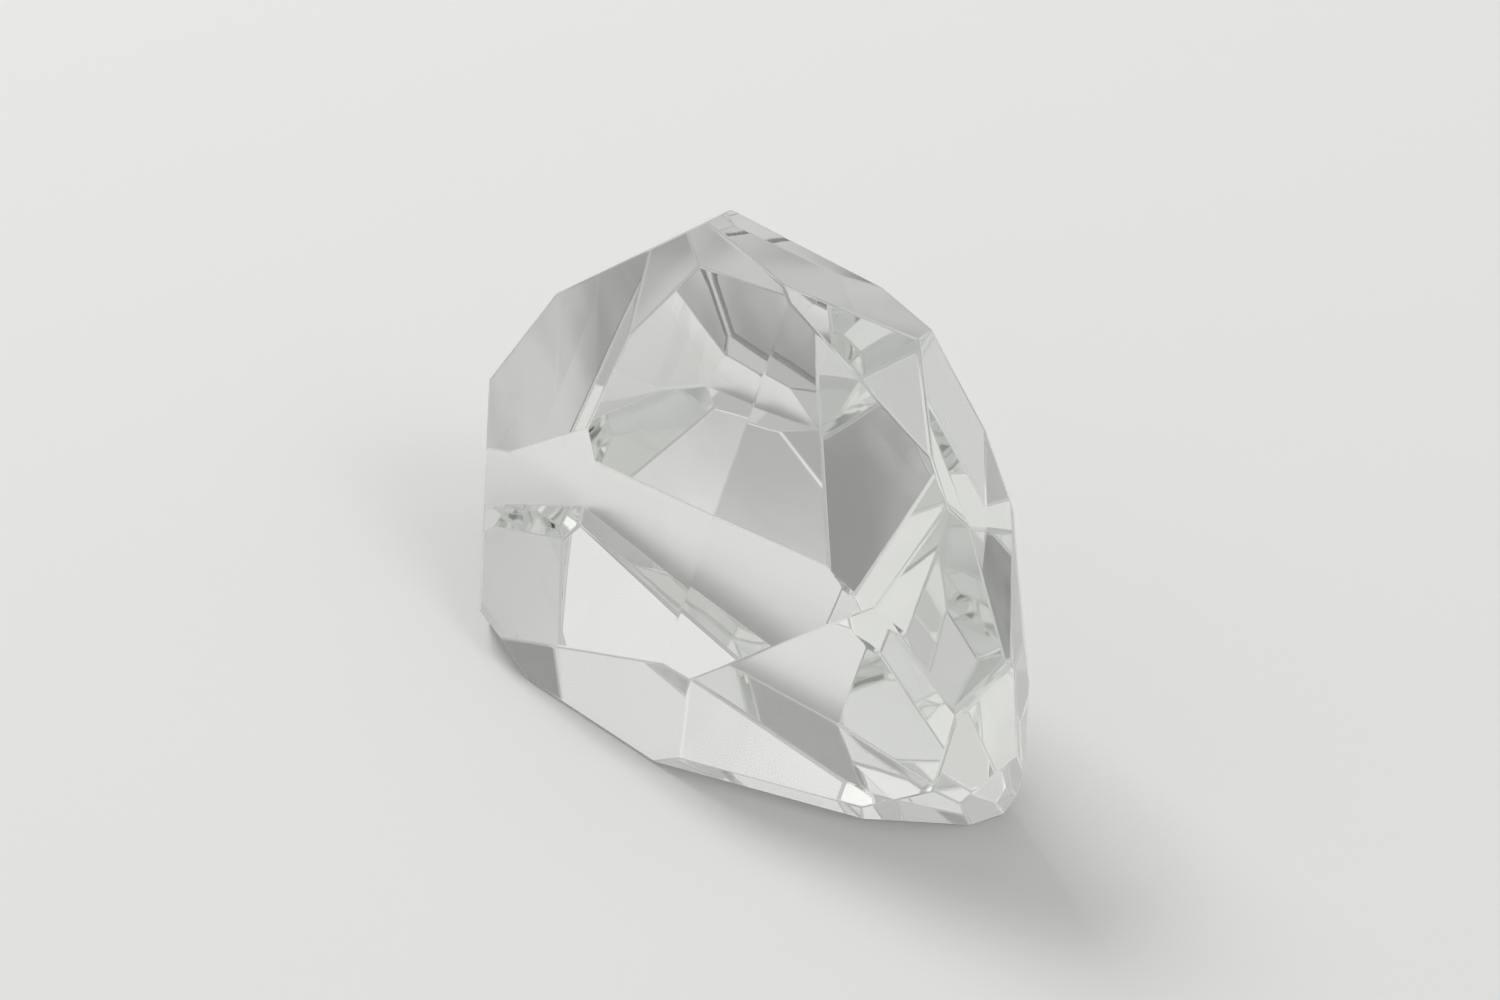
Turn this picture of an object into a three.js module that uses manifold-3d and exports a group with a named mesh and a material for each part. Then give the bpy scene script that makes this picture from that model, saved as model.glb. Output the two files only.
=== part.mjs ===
// A free-form cut-glass paperweight: one solid block of clear crystal, ground flat facet by facet.
// Millimetres, +Z up. The origin is the middle of the footprint, on the polished base.

import * as THREE from 'three';
import { mergeVertices } from 'three/addons/utils/BufferGeometryUtils.js';
import Module from 'manifold-3d';

// Driving dimensions.
const HEIGHT = 43; // polished base to the flat on top
const CENTRE_HEIGHT = 22; // height of the point that every facet is measured from
const UNDERCUT = -24; // lean of the bevels around the foot, in degrees
const ROUGH_WIDTH = 80; // the uncut block
const CUTTER_SIZE = 160; // the square wheel face that grinds one facet, wider than the block

// One row is one facet: the way it faces, seen from above, in degrees (0 is the front, -Y, and
// 90 is the right side, +X), its tilt towards the sky in degrees, and its distance in millimetres
// from the centre point.

// The lower belt: nearly upright walls.
const WALLS = [
  { azimuth: -20, tilt: 6, distance: 18.7 },
  { azimuth: 18, tilt: -2, distance: 28.2 },
  { azimuth: 62, tilt: 1.3, distance: 26.8 },
  { azimuth: 116, tilt: -2, distance: 8.2 },
  { azimuth: 126, tilt: 2, distance: 6.5 },
  { azimuth: 136, tilt: -1, distance: 6.9 },
  { azimuth: 153, tilt: 9, distance: 14.4 },
  { azimuth: 186, tilt: 9, distance: 25.4 },
  { azimuth: 264, tilt: -6, distance: 36.4 },
  { azimuth: 318, tilt: 7, distance: 19.3 },
];

// The upper belt: leaning kites and lozenges that meet the walls in a zigzag.
const SHOULDERS = [
  { azimuth: -6, tilt: 18, distance: 20.7 },
  { azimuth: 34, tilt: 25, distance: 26.1 },
  { azimuth: 90, tilt: 7.3, distance: 18.3 },
  { azimuth: 140, tilt: 16, distance: 11.2 },
  { azimuth: 195, tilt: 37, distance: 27.3 },
  { azimuth: 227, tilt: 24, distance: 34.2 },
  { azimuth: 307, tilt: 31, distance: 12.3 },
  { azimuth: 317, tilt: 32, distance: 12.0 },
];

// The crown: steep facets around the flat on top.
const CROWN = [
  { azimuth: -33, tilt: 54, distance: 16.8 },
  { azimuth: 54, tilt: 52, distance: 22.3 },
  { azimuth: 225, tilt: 49, distance: 27.9 },
];

// The foot: bevels that draw the walls in to the base, with one larger cut on the front corner.
const FOOT = [
  { azimuth: -20, tilt: UNDERCUT, distance: 27.0 },
  { azimuth: -2, tilt: UNDERCUT, distance: 29.4 },
  { azimuth: 29, tilt: -14, distance: 31.5 },
  { azimuth: 116, tilt: UNDERCUT, distance: 14.9 },
  { azimuth: 125, tilt: UNDERCUT, distance: 11.9 },
  { azimuth: 132, tilt: UNDERCUT, distance: 11.5 },
  { azimuth: 178, tilt: UNDERCUT, distance: 29.5 },
  { azimuth: 196, tilt: UNDERCUT, distance: 36.4 },
  { azimuth: 257, tilt: UNDERCUT, distance: 40.9 },
  { azimuth: 299, tilt: UNDERCUT, distance: 33.7 },
];

const wasm = await Module();
wasm.setup();

// A closed three.js geometry as a solid that can be cut.
function toSolid(geometry) {
  const bare = geometry.clone();
  bare.deleteAttribute('normal');
  bare.deleteAttribute('uv');
  const merged = mergeVertices(bare);
  return new wasm.Manifold(new wasm.Mesh({
    numProp: 3,
    vertProperties: new Float32Array(merged.attributes.position.array),
    triVerts: new Uint32Array(merged.index.array),
  }));
}

// The cut solid as a flat-shaded three.js geometry.
function toGeometry(solid) {
  const mesh = solid.getMesh();
  const indexed = new THREE.BufferGeometry();
  indexed.setAttribute('position', new THREE.BufferAttribute(mesh.vertProperties, mesh.numProp));
  indexed.setIndex(new THREE.BufferAttribute(mesh.triVerts, 1));
  const faceted = indexed.toNonIndexed();
  faceted.computeVertexNormals();
  return faceted;
}

// The uncut block: it stands on the base plane and is already flat on top.
function roughBlock() {
  const block = new THREE.BoxGeometry(ROUGH_WIDTH, ROUGH_WIDTH, HEIGHT);
  block.translate(0, 0, HEIGHT / 2);
  return toSolid(block);
}

// The outward direction of a facet.
function facing({ azimuth, tilt }) {
  const around = THREE.MathUtils.degToRad(azimuth);
  const up = THREE.MathUtils.degToRad(tilt);
  return new THREE.Vector3(
    Math.sin(around) * Math.cos(up),
    -Math.cos(around) * Math.cos(up),
    Math.sin(up),
  );
}

// Grinds one facet: everything beyond its plane is removed.
function grind(block, facet) {
  const outward = facing(facet);
  const cutter = new THREE.BoxGeometry(CUTTER_SIZE, CUTTER_SIZE, CUTTER_SIZE);
  cutter.applyQuaternion(
    new THREE.Quaternion().setFromUnitVectors(new THREE.Vector3(0, 0, 1), outward),
  );
  const middle = outward.multiplyScalar(facet.distance + CUTTER_SIZE / 2);
  cutter.translate(middle.x, middle.y, middle.z + CENTRE_HEIGHT);
  return block.subtract(toSolid(cutter));
}

// Moves the finished stone so that its footprint is centred on the origin.
function centreFootprint(geometry) {
  geometry.computeBoundingBox();
  const middle = geometry.boundingBox.getCenter(new THREE.Vector3());
  geometry.translate(-middle.x, -middle.y, 0);
}

function crystalStone() {
  const cut = [...WALLS, ...SHOULDERS, ...CROWN, ...FOOT].reduce(grind, roughBlock());
  const geometry = toGeometry(cut);
  centreFootprint(geometry);
  const clearCrystal = new THREE.MeshStandardMaterial({
    color: 0xdfe3e1,
    roughness: 0.04,
    metalness: 0,
    transparent: true,
    opacity: 0.35,
  });
  const stone = new THREE.Mesh(geometry, clearCrystal);
  stone.name = 'crystal_body';
  return stone;
}

const paperweight = new THREE.Group();
paperweight.add(crystalStone());

export default paperweight;
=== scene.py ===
"""A free-form cut-glass paperweight on a pale studio floor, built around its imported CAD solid.

Blender 4.5, metres, in the CAD frame: +Z up, -Y is the front, the origin is the middle of the
footprint on the polished base.
"""

import math
import random

import bmesh
import bpy
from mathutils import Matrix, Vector, noise


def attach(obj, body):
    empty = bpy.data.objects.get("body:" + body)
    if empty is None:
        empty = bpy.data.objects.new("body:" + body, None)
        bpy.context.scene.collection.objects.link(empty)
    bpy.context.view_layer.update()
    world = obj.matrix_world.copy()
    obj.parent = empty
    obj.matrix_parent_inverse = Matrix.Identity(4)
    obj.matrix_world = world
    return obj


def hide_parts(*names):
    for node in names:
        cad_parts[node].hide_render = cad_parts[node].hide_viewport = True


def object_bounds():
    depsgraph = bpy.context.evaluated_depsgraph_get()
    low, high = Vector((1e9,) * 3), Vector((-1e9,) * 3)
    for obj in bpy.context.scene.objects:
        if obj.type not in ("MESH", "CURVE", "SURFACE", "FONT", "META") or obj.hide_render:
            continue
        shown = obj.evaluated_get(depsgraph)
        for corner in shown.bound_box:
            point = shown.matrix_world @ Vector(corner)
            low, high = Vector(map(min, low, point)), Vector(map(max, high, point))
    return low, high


MM = 0.001

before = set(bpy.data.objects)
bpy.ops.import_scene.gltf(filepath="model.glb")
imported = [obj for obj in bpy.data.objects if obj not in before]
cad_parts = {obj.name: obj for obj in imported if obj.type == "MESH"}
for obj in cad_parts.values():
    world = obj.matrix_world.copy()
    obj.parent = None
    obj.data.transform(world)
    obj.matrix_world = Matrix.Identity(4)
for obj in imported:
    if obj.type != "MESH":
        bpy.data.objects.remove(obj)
cad_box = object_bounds()


# ---------------------------------------------------------------------------------------------
# Camera: the photographed place, about 38 degrees above the desk, turned to the whole stone.
# ---------------------------------------------------------------------------------------------

CAMERA_AT = Vector((17.0, -354.4, 290.5)) * MM
CAMERA_LENS = 112.0
SENSOR_WIDTH = 36.0
NEAREST, FURTHEST = 0.01, 20.0  # clipping, m
AIM_DROP = 1.5 * MM  # the camera looks this far below the middle of the stone


def make_camera():
    """The one camera, aimed at the middle of the stone."""
    data = bpy.data.cameras.new("camera")
    data.lens = CAMERA_LENS
    data.sensor_width = SENSOR_WIDTH
    data.clip_start = NEAREST
    data.clip_end = FURTHEST
    camera = bpy.data.objects.new("camera", data)
    bpy.context.scene.collection.objects.link(camera)
    aim = (cad_box[0] + cad_box[1]) / 2 - Vector((0, 0, AIM_DROP))
    camera.location = CAMERA_AT
    camera.rotation_mode = "QUATERNION"
    camera.rotation_quaternion = (aim - CAMERA_AT).to_track_quat("-Z", "Y")
    bpy.context.scene.camera = camera


# ---------------------------------------------------------------------------------------------
# The stone's mesh, worked in millimetres.
# ---------------------------------------------------------------------------------------------

SEED = 11  # of the plain arrises' widths
WELD = 0.01  # corners of the CAD mesh this close are one, mm
SAME_FACET = math.radians(0.8)  # triangles that turn less than this belong to one facet
SAME_FACING = math.cos(math.radians(1))  # how well a named facet has to match
DOWNWARD = -0.99  # the base is the facet whose normal points further down than this
WIDEST_ARRIS = 1.4  # across the rounding, mm
PLAIN_ARRIS = (0.28, 0.62)  # the range of the other arrises
FOOT_ARRIS = 0.42  # around the base
ARRIS_STEPS = 4
CELL = 1.3  # the facets are divided about this finely, so that their polish can undulate
OFF_CORNER = 0.013  # keeps the dividing planes off the stone's corners
ON_PLANE = 1e-4  # a corner this close to a dividing plane counts as lying on it
# The arrises that the photo shows wider or crisper than the rest: those around the front kite, and
# the upper edge of the bevel at the back right, seen through the glass. A facet is named by the
# way it faces, (azimuth, tilt).
NAMED_ARRISES = [
    ((-6, 18), (18, -2), 1.4),
    ((-6, 18), (-20, 6), 0.75),
    ((-6, 18), (34, 25), 0.3),
    ((-20, 6), (18, -2), 0.5),
    ((34, 25), (18, -2), 0.6),
    ((29, -14), (18, -2), 0.55),
    ((136, -1), (132, -24), 0.9),
    ((126, 2), (125, -24), 0.9),
]


def facing(azimuth, tilt):
    """The outward direction of a facet: azimuth 0 is the front, -Y, and 90 is +X."""
    around, up = math.radians(azimuth), math.radians(tilt)
    return Vector(
        (math.sin(around) * math.cos(up), -math.cos(around) * math.cos(up), math.sin(up))
    )


def facet_mesh(node):
    """The CAD solid as one polygon per facet, in millimetres."""
    bm = bmesh.new()
    bm.from_mesh(node.data)
    bmesh.ops.scale(bm, vec=(1 / MM,) * 3, verts=bm.verts)
    bmesh.ops.remove_doubles(bm, verts=bm.verts, dist=WELD)
    bmesh.ops.dissolve_limit(
        bm,
        angle_limit=SAME_FACET,
        verts=bm.verts,
        edges=bm.edges,
        use_dissolve_boundaries=False,
        delimit=set(),
    )
    bm.normal_update()
    return bm


def set_arris_widths(bm):
    """Gives every edge its rounding as a bevel weight, a share of the widest."""
    weight = bm.edges.layers.float.new("bevel_weight_edge")
    draw = random.Random(SEED)
    named = [(facing(*a), facing(*b), width) for a, b, width in NAMED_ARRISES]
    for edge in bm.edges:
        width = draw.uniform(*PLAIN_ARRIS)
        one, other = (face.normal for face in edge.link_faces)
        if min(one.z, other.z) < DOWNWARD:
            width = FOOT_ARRIS
        for a, b, named_width in named:
            match = max(min(one.dot(a), other.dot(b)), min(one.dot(b), other.dot(a)))
            if match > SAME_FACING:
                width = named_width
        edge[weight] = width / WIDEST_ARRIS


def rounded(bm):
    """The facet mesh with rounded arrises. The rounding's faces carry material index 1."""
    mesh = bpy.data.meshes.new("facets")
    bm.to_mesh(mesh)
    bm.free()
    mesh.materials.append(None)
    mesh.materials.append(None)
    shape = bpy.data.objects.new("facets", mesh)
    bpy.context.scene.collection.objects.link(shape)
    bevel = shape.modifiers.new("arrises", "BEVEL")
    bevel.limit_method = "WEIGHT"
    bevel.offset_type = "WIDTH"
    bevel.width = WIDEST_ARRIS
    bevel.segments = ARRIS_STEPS
    bevel.profile = 0.5
    bevel.use_clamp_overlap = False
    bevel.material = 1
    graph = bpy.context.evaluated_depsgraph_get()
    made = bmesh.new()
    made.from_mesh(shape.evaluated_get(graph).to_mesh())
    bpy.data.objects.remove(shape)
    bpy.data.meshes.remove(mesh)
    made.normal_update()
    return made


def mark_surface(bm):
    """Stores on each vertex its true normal, and how far it is into the rounding of an arris."""
    normal = bm.verts.layers.float_vector.new("true_normal")
    arris = bm.verts.layers.float.new("arris")
    for vert in bm.verts:
        flat = [face for face in vert.link_faces if face.material_index == 0]
        if flat:
            vert[normal] = max(flat, key=lambda face: face.calc_area()).normal
            vert[arris] = 0.0
        else:
            total = Vector()
            for loop in vert.link_loops:
                total += loop.face.normal * loop.calc_angle()
            vert[normal] = total.normalized()
            vert[arris] = 1.0


def divide(bm, size):
    """Cuts every face along planes a cell apart, in all three directions."""
    for axis in range(3):
        low = min(vert.co[axis] for vert in bm.verts)
        high = max(vert.co[axis] for vert in bm.verts)
        direction = Vector((0, 0, 0))
        direction[axis] = 1
        count = int((high - low) / size)
        step = (high - low) / (count + 1)
        for i in range(count):
            bmesh.ops.bisect_plane(
                bm,
                geom=bm.verts[:] + bm.edges[:] + bm.faces[:],
                dist=ON_PLANE,
                plane_co=direction * (low + (i + 1) * step + OFF_CORNER),
                plane_no=direction,
            )


WAVES = ((9.0, 0.010), (3.7, 0.0022))  # the polish's undulation: (length, height), mm
ARRIS_RIPPLE = (1.6, 0.012)
WAVE_ORIGIN = Vector((3.1, 7.7, 1.3))  # gives each wave its own part of the noise
SLOPE_STEP = 0.05
BASE_NORMAL = -0.999  # a point of the flat base faces further down than this
BASE_WAVE = 0.3  # share of the undulation that the base keeps, in its normals only


def undulation(point):
    """Height of the hand-polished surface above the true facet, mm."""
    return sum(
        height * noise.noise(point / length + WAVE_ORIGIN * length)
        for length, height in WAVES
    )


def ripple(point):
    """Height of the finer waves that only the arrises carry, mm."""
    length, height = ARRIS_RIPPLE
    return height * noise.noise(point / length)


def slope(height_of, point):
    """Gradient of a height over the three axes."""
    here = height_of(point)
    return Vector(
        (
            height_of(point + Vector((SLOPE_STEP, 0, 0))) - here,
            height_of(point + Vector((0, SLOPE_STEP, 0))) - here,
            height_of(point + Vector((0, 0, SLOPE_STEP))) - here,
        )
    ) / SLOPE_STEP


def polish(bm):
    """Moves the surface by its undulation, and returns the normals that go with it."""
    normal = bm.verts.layers.float_vector["true_normal"]
    arris = bm.verts.layers.float["arris"]
    moved, normals = [], []
    bm.verts.ensure_lookup_table()
    for vert in bm.verts:
        outward = vert[normal].normalized()
        share = vert[arris]
        point = vert.co.copy()
        height = undulation(point) + share * ripple(point)
        gradient = slope(undulation, point) + slope(ripple, point) * share
        along = gradient - outward * gradient.dot(outward)
        if outward.z < BASE_NORMAL:
            height = 0.0
            along = along * BASE_WAVE
        moved.append(point + outward * height)
        normals.append((outward - along).normalized())
    for vert, place in zip(bm.verts, moved):
        vert.co = place
    return normals


def make_stone(node):
    """The finished stone, from the CAD solid's facets to the polished mesh in metres."""
    bm = facet_mesh(node)
    set_arris_widths(bm)
    bm = rounded(bm)
    mark_surface(bm)
    divide(bm, CELL)
    bmesh.ops.triangulate(bm, faces=bm.faces)
    normals = polish(bm)
    bmesh.ops.scale(bm, vec=(MM,) * 3, verts=bm.verts)
    for face in bm.faces:
        face.smooth = True
        face.material_index = 0
    mesh = bpy.data.meshes.new("crystal_stone")
    bm.to_mesh(mesh)
    bm.free()
    mesh.normals_split_custom_set_from_vertices(normals)
    mesh.attributes.remove(mesh.attributes["true_normal"])
    stone = bpy.data.objects.new("crystal_stone", mesh)
    bpy.context.scene.collection.objects.link(stone)
    return stone


# ---------------------------------------------------------------------------------------------
# Materials.
# ---------------------------------------------------------------------------------------------


def new_material(name):
    """An empty node material, with its nodes and its links."""
    material = bpy.data.materials.new(name)
    material.use_nodes = True
    nodes = material.node_tree.nodes
    nodes.clear()
    return material, nodes, material.node_tree.links


def add(nodes, kind, **settings):
    """A new node of a kind, with its settings."""
    node = nodes.new(kind)
    for key, value in settings.items():
        setattr(node, key, value)
    return node


def math_node(nodes, links, operation, a, b=None):
    """A maths node on sockets or plain numbers."""
    node = add(nodes, "ShaderNodeMath", operation=operation)
    for socket, value in zip(node.inputs, (a, b)):
        if value is None:
            continue
        if isinstance(value, (int, float)):
            socket.default_value = value
        else:
            links.new(value, socket)
    return node.outputs[0]


GLASS_COLOUR = (0.995, 0.995, 0.99, 1)
GLASS_IOR = 1.53
TINT, TINT_DENSITY = (0.84, 0.90, 0.82, 1), 3.0  # a very faint green in the depth
BARE_ROUGHNESS = 0.012
SMEAR_ROUGHNESS, HAZE_ROUGHNESS, ARRIS_ROUGHNESS = 0.020, 0.006, 0.10  # added where they lie
SMEAR_SCALE, SMEAR_EDGE = 90, (0.52, 0.72)  # a mark fades in between these values of its noise
SMEAR_SQUEEZE = (1, 1, 0.3)
SMEAR_TURN = (0.5, 0.3, 0.7)  # the wiping marks run askew to the stone
HAZE_SCALE, HAZE_EDGE, HAZE_DETAIL = 700, (0.45, 0.8), 5.0


def crystal_material():
    """Clear polished crystal: faint wiping marks, fine haze, and satin arrises."""
    material, nodes, links = new_material("crystal")
    out = add(nodes, "ShaderNodeOutputMaterial")
    glass = add(nodes, "ShaderNodeBsdfPrincipled")
    glass.inputs["Base Color"].default_value = GLASS_COLOUR
    glass.inputs["Transmission Weight"].default_value = 1.0
    glass.inputs["IOR"].default_value = GLASS_IOR
    links.new(glass.outputs[0], out.inputs["Surface"])
    tint = add(nodes, "ShaderNodeVolumeAbsorption")
    tint.inputs["Color"].default_value = TINT
    tint.inputs["Density"].default_value = TINT_DENSITY
    links.new(tint.outputs[0], out.inputs["Volume"])

    place = add(nodes, "ShaderNodeTexCoord").outputs["Object"]

    def pattern(scale, fade, detail=3.0, squeeze=None):
        where = place
        if squeeze:
            mapping = add(nodes, "ShaderNodeMapping")
            mapping.inputs["Scale"].default_value = squeeze
            mapping.inputs["Rotation"].default_value = SMEAR_TURN
            links.new(place, mapping.inputs["Vector"])
            where = mapping.outputs[0]
        grain = add(nodes, "ShaderNodeTexNoise")
        grain.inputs["Scale"].default_value = scale
        grain.inputs["Detail"].default_value = detail
        links.new(where, grain.inputs["Vector"])
        span = add(nodes, "ShaderNodeMapRange", interpolation_type="SMOOTHSTEP")
        span.inputs["From Min"].default_value = fade[0]
        span.inputs["From Max"].default_value = fade[1]
        links.new(grain.outputs[0], span.inputs["Value"])
        return span.outputs[0]

    smears = pattern(SMEAR_SCALE, SMEAR_EDGE, squeeze=SMEAR_SQUEEZE)
    haze = pattern(HAZE_SCALE, HAZE_EDGE, detail=HAZE_DETAIL)
    arris = add(nodes, "ShaderNodeAttribute", attribute_name="arris").outputs["Fac"]
    rough = BARE_ROUGHNESS
    layers = ((smears, SMEAR_ROUGHNESS), (haze, HAZE_ROUGHNESS), (arris, ARRIS_ROUGHNESS))
    for layer, share in layers:
        part = math_node(nodes, links, "MULTIPLY", layer, share)
        rough = math_node(nodes, links, "ADD", part, rough)
    links.new(rough, glass.inputs["Roughness"])
    return material


def floor_material():
    """Matt pale paint."""
    material, nodes, links = new_material("floor")
    out = add(nodes, "ShaderNodeOutputMaterial")
    paint = add(nodes, "ShaderNodeBsdfPrincipled")
    paint.inputs["Base Color"].default_value = (0.80, 0.80, 0.79, 1)
    paint.inputs["Roughness"].default_value = 0.7
    paint.inputs["Specular IOR Level"].default_value = 0.2
    links.new(paint.outputs[0], out.inputs["Surface"])
    return material


# ---------------------------------------------------------------------------------------------
# Studio: a pale round sweep, a dome with soft panels, and two lamps for the floor.
# ---------------------------------------------------------------------------------------------

FLOOR_GAP = 0.1 * MM  # air under the polished base
SWEEP_FLAT, SWEEP_RADIUS, SWEEP_HEIGHT = 1.1, 0.45, 0.22
INNER_RINGS = (0.1, 0.4)  # radii that divide the flat part
SWEEP_STEPS, SWEEP_SIDES = 16, 96


def make_sweep():
    """A flat round floor that curls up at its rim."""
    profile = [(0.0, 0.0), *((radius, 0.0) for radius in INNER_RINGS), (SWEEP_FLAT, 0.0)]
    top = math.acos(1 - SWEEP_HEIGHT / SWEEP_RADIUS)
    for i in range(1, SWEEP_STEPS + 1):
        turn = top * i / SWEEP_STEPS
        profile.append(
            (SWEEP_FLAT + SWEEP_RADIUS * math.sin(turn), SWEEP_RADIUS * (1 - math.cos(turn)))
        )
    verts = [(0, 0, -FLOOR_GAP)]
    for radius, height in profile[1:]:
        for k in range(SWEEP_SIDES):
            angle = 2 * math.pi * k / SWEEP_SIDES
            verts.append(
                (radius * math.cos(angle), radius * math.sin(angle), height - FLOOR_GAP)
            )
    faces = [(0, 1 + k, 1 + (k + 1) % SWEEP_SIDES) for k in range(SWEEP_SIDES)]
    for ring in range(len(profile) - 2):
        a = 1 + ring * SWEEP_SIDES
        b = a + SWEEP_SIDES
        for k in range(SWEEP_SIDES):
            n = (k + 1) % SWEEP_SIDES
            faces.append((a + k, b + k, b + n, a + n))
    mesh = bpy.data.meshes.new("floor")
    mesh.from_pydata(verts, [], faces)
    mesh.shade_smooth()
    mesh.materials.append(floor_material())
    floor = bpy.data.objects.new("floor", mesh)
    bpy.context.scene.collection.objects.link(floor)


# A glowing patch, pale and softly streaked, that stands in for the lamp light which the stone
# gathers on the floor under its base. The renderer doesn't carry that light through the glass.
GATHERED_SHARE = 0.97  # of the base, so that the patch stays hidden under it
GATHERED_DEPTH = 0.05 * MM
GATHERED_LOW, GATHERED_HIGH = 0.30, 0.58
STREAK_SCALE = 70.0
STREAK_SQUEEZE = (1.0, 0.35, 1.0)
STREAK_EDGE = (0.35, 0.65)  # the noise between which a streak fades in


def make_gathered_light(node):
    """The patch, shaped like the base and laid between it and the floor."""
    bm = facet_mesh(node)
    base = min(bm.faces, key=lambda face: face.normal.z)
    middle = base.calc_center_median()
    corners = [middle.lerp(vert.co, GATHERED_SHARE) * MM for vert in base.verts]
    bm.free()
    mesh = bpy.data.meshes.new("gathered_light")
    mesh.from_pydata(
        [(corner.x, corner.y, -GATHERED_DEPTH) for corner in corners], [], [range(len(corners))]
    )
    material, nodes, links = new_material("gathered_light")
    out = add(nodes, "ShaderNodeOutputMaterial")
    glow = add(nodes, "ShaderNodeEmission")
    links.new(glow.outputs[0], out.inputs["Surface"])
    mapping = add(nodes, "ShaderNodeMapping")
    mapping.inputs["Scale"].default_value = STREAK_SQUEEZE
    links.new(add(nodes, "ShaderNodeTexCoord").outputs["Object"], mapping.inputs["Vector"])
    streaks = add(nodes, "ShaderNodeTexNoise")
    streaks.inputs["Scale"].default_value = STREAK_SCALE
    streaks.inputs["Detail"].default_value = 2.0
    links.new(mapping.outputs[0], streaks.inputs["Vector"])
    span = add(nodes, "ShaderNodeMapRange", interpolation_type="SMOOTHSTEP")
    span.inputs["From Min"].default_value = STREAK_EDGE[0]
    span.inputs["From Max"].default_value = STREAK_EDGE[1]
    span.inputs["To Min"].default_value = GATHERED_LOW
    span.inputs["To Max"].default_value = GATHERED_HIGH
    links.new(streaks.outputs[0], span.inputs["Value"])
    links.new(span.outputs[0], glow.inputs["Strength"])
    mesh.materials.append(material)
    patch = bpy.data.objects.new("gathered_light", mesh)
    bpy.context.scene.collection.objects.link(patch)


# (azimuth, elevation, half width, half height, brightness): soft panels around the dome. Azimuth
# 0 is behind the stone, +Y, and 90 is its right side; widths are tangents of the half angle. A
# negative brightness is a grey flag, which draws the darker facets.
PANELS = [
    (-94, 45, 0.17, 0.12, 0.34),
    (-66, 61, 0.34, 0.13, -0.10),
    (-52, 33, 0.34, 0.14, 0.12),
    (-20, 48, 0.24, 0.16, 0.20),
    (8, 58, 0.26, 0.16, 0.12),
    (-48, 11, 0.26, 0.09, 0.62),
    (-98, 24, 0.30, 0.12, 0.34),
    (-49, 40, 0.09, 0.09, -0.33),
    (100, 45, 0.50, 0.35, 0.24),
    (150, 45, 0.30, 0.35, -0.07),
    (-150, 35, 0.40, 0.25, 0.18),
    (-165, 60, 0.35, 0.20, -0.06),
    (50, 28, 0.35, 0.25, -0.22),
]
PANEL_EDGE = (1.35, 0.65)  # a panel fades out between these shares of its half size
DOME_LOW, DOME_HIGH = 0.53, 0.46  # brightness near the horizon and overhead
DOME_CHANGE = (0.1, 0.55)  # the sines of the elevations between which it changes
PANEL_SIDE = 0.05  # a panel shows only where the sky is on its own side


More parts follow.
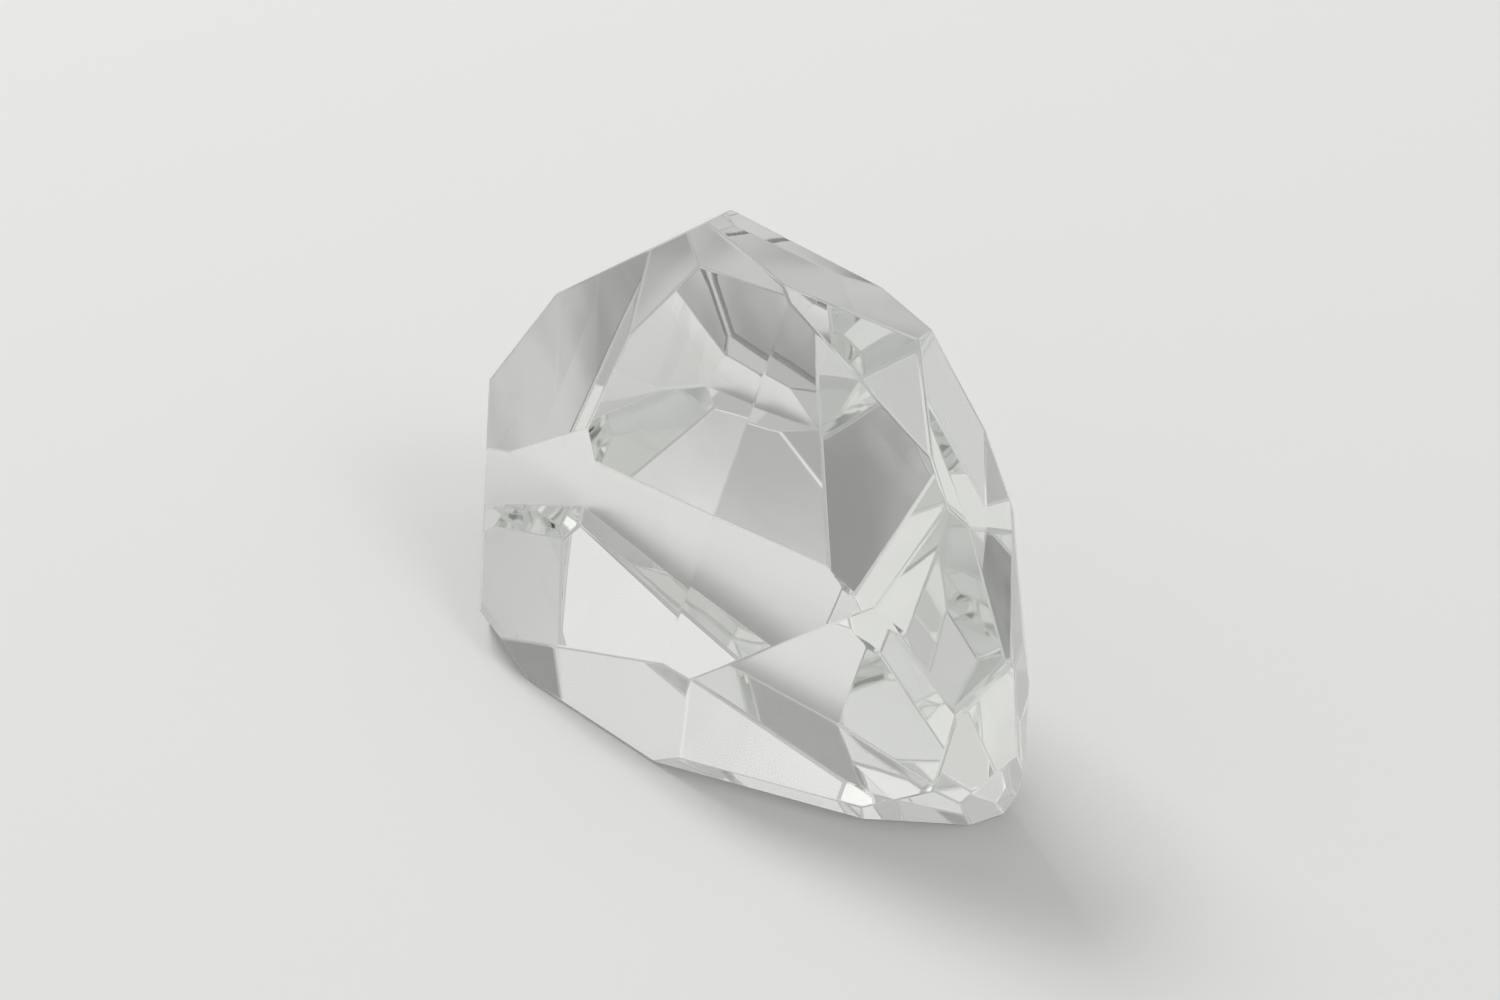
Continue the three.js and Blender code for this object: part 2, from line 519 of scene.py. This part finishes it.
def make_world():
    """The dome: a plain pale sky with the soft panels added to it."""
    world = bpy.data.worlds.new("studio")
    bpy.context.scene.world = world
    world.use_nodes = True
    nodes, links = world.node_tree.nodes, world.node_tree.links
    nodes.clear()
    out = add(nodes, "ShaderNodeOutputWorld")
    sky = add(nodes, "ShaderNodeBackground")
    links.new(sky.outputs[0], out.inputs["Surface"])
    look = add(nodes, "ShaderNodeTexCoord").outputs["Generated"]

    def along(direction):
        dot = add(nodes, "ShaderNodeVectorMath", operation="DOT_PRODUCT")
        dot.inputs[1].default_value = direction
        links.new(look, dot.inputs[0])
        return dot.outputs["Value"]

    def edge(value, half):
        size = math_node(nodes, links, "ABSOLUTE", value)
        span = add(nodes, "ShaderNodeMapRange", interpolation_type="SMOOTHSTEP")
        span.inputs["From Min"].default_value = half * PANEL_EDGE[0]
        span.inputs["From Max"].default_value = half * PANEL_EDGE[1]
        links.new(size, span.inputs["Value"])
        return span.outputs[0]

    height = along((0, 0, 1))
    rise = add(nodes, "ShaderNodeMapRange", interpolation_type="SMOOTHSTEP")
    rise.inputs["From Min"].default_value = DOME_CHANGE[0]
    rise.inputs["From Max"].default_value = DOME_CHANGE[1]
    rise.inputs["To Min"].default_value = DOME_LOW
    rise.inputs["To Max"].default_value = DOME_HIGH
    links.new(height, rise.inputs["Value"])
    total = rise.outputs[0]
    for azimuth, elevation, half_width, half_height, brightness in PANELS:
        a, e = math.radians(azimuth), math.radians(elevation)
        middle = Vector((math.sin(a) * math.cos(e), math.cos(a) * math.cos(e), math.sin(e)))
        side = Vector((math.cos(a), -math.sin(a), 0))
        upward = side.cross(middle)
        depth = along(middle)
        x = math_node(nodes, links, "DIVIDE", along(side), depth)
        y = math_node(nodes, links, "DIVIDE", along(upward), depth)
        shown = math_node(nodes, links, "MULTIPLY", edge(x, half_width), edge(y, half_height))
        front = math_node(nodes, links, "GREATER_THAN", depth, PANEL_SIDE)
        shown = math_node(nodes, links, "MULTIPLY", shown, front)
        shown = math_node(nodes, links, "MULTIPLY", shown, brightness)
        total = math_node(nodes, links, "ADD", total, shown)
    links.new(total, sky.inputs["Strength"])
    sky.inputs["Color"].default_value = (1.0, 1.0, 0.99, 1)
    world.cycles.sampling_method = "MANUAL"
    world.cycles.sample_map_resolution = 1024


# (name, place, size, power). The lamps only light the floor: the stone neither mirrors them nor
# shows them through it.
LAMPS = [
    ("key", (-0.55, 0.75, 1.05), 0.55, 9.8),
    ("fill", (0.9, -0.5, 1.1), 0.6, 2.5),
]


def make_lights():
    """The two lamps, aimed at the stone."""
    for name, place, size, power in LAMPS:
        data = bpy.data.lights.new(name, "AREA")
        data.shape = "SQUARE"
        data.size = size
        data.energy = power
        lamp = bpy.data.objects.new(name, data)
        bpy.context.scene.collection.objects.link(lamp)
        lamp.location = place
        lamp.rotation_mode = "QUATERNION"
        lamp.rotation_quaternion = (-Vector(place)).to_track_quat("-Z", "Y")
        lamp.visible_glossy = False
        lamp.visible_transmission = False


make_camera()
make_sweep()
make_world()
make_lights()
make_gathered_light(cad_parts["crystal_body"])

stone = make_stone(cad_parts["crystal_body"])
stone.data.materials.clear()
stone.data.materials.append(crystal_material())
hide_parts("crystal_body")
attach(stone, "root")

scene = bpy.context.scene
scene.view_settings.view_transform = "Standard"
scene.cycles.max_bounces = 24
scene.cycles.transmission_bounces = 24
scene.cycles.glossy_bounces = 16
scene.cycles.diffuse_bounces = 4
